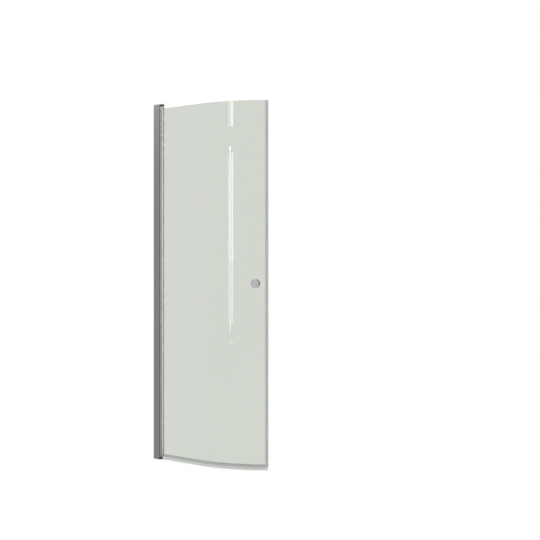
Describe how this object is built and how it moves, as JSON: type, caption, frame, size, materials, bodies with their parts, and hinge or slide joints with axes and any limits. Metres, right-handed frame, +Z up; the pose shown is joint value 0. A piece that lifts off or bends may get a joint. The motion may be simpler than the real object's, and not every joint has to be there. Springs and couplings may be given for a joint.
{
  "type": "pivot shower door",
  "caption": "Curved glass pivot shower door on a slim aluminium wall profile, with a round knob, a drip seal and a magnetic edge seal.",
  "frame": {"origin": "on the hinge axis at the height of the shower tray, at the foot bracket's underside", "axes": "+X out from the wall along the straight part of the glass, +Y into the shower, +Z up"},
  "size_m": [0.7563, 0.171, 2],
  "materials": {
    "satin_aluminium": "satin anodised extrusion",
    "mill_aluminium": "mill finish extrusion",
    "cap_metal": "satin grey paint on a cast cap",
    "steel": "bright stainless steel",
    "satin_knob": "satin turned metal",
    "black_plastic": "matt moulded black",
    "foot_plastic": "matt moulded dark grey",
    "pale_plastic": "matt moulded pale grey",
    "bearing_plastic": "smooth white bearing plastic",
    "clear_glass": "clear toughened glass with a faint green tint",
    "clear_vinyl": "hard clear vinyl, slightly milky",
    "milky_vinyl": "hard translucent vinyl, greyer than the edge seal",
    "soft_vinyl": "soft translucent vinyl",
    "grey_seal": "soft translucent grey seal",
    "magnet_rubber": "rubber-bonded magnet"
  },
  "bodies": {
    "wall_frame": {"wall_channel": "mill_aluminium", "jamb_profile": "satin_aluminium", "jamb_seal": "grey_seal", "clamp_screws": "steel", "clamp_screw_caps": "pale_plastic", "top_cap": "cap_metal", "top_cap_screws": "steel", "upper_pivot_collar": "black_plastic", "upper_pivot_pin": "steel", "foot_bracket": "foot_plastic", "foot_screws": "steel", "lower_pivot_pin": "steel", "thrust_washer": "bearing_plastic"},
    "door_leaf": {"hinge_profile": "satin_aluminium", "upper_hinge_bush": "bearing_plastic", "lower_hinge_bush": "bearing_plastic", "hinge_top_cap": "pale_plastic", "hinge_top_cap_screws": "steel", "hinge_bottom_cap": "pale_plastic", "hinge_bottom_cap_screws": "steel", "curved_glass": "clear_glass", "outer_glazing_gasket": "grey_seal", "inner_glazing_gasket": "grey_seal", "setting_blocks": "bearing_plastic", "drip_seal_carrier": "milky_vinyl", "drip_seal_lip": "soft_vinyl", "edge_seal_profile": "clear_vinyl", "magnet_strip": "magnet_rubber", "edge_seal_plugs": "clear_vinyl", "outer_knob": "satin_knob", "inner_knob": "satin_knob", "knob_stud": "steel", "knob_sleeve": "bearing_plastic", "knob_pads": "soft_vinyl", "knob_grub_screws": "steel"}
  },
  "joints": [
    {"name": "door_swing", "type": "hinge", "parent": "wall_frame", "child": "door_leaf", "pos_m": [0, 0, 0], "axis": [0, 0, 1], "range_deg": [-90, 80]}
  ]
}
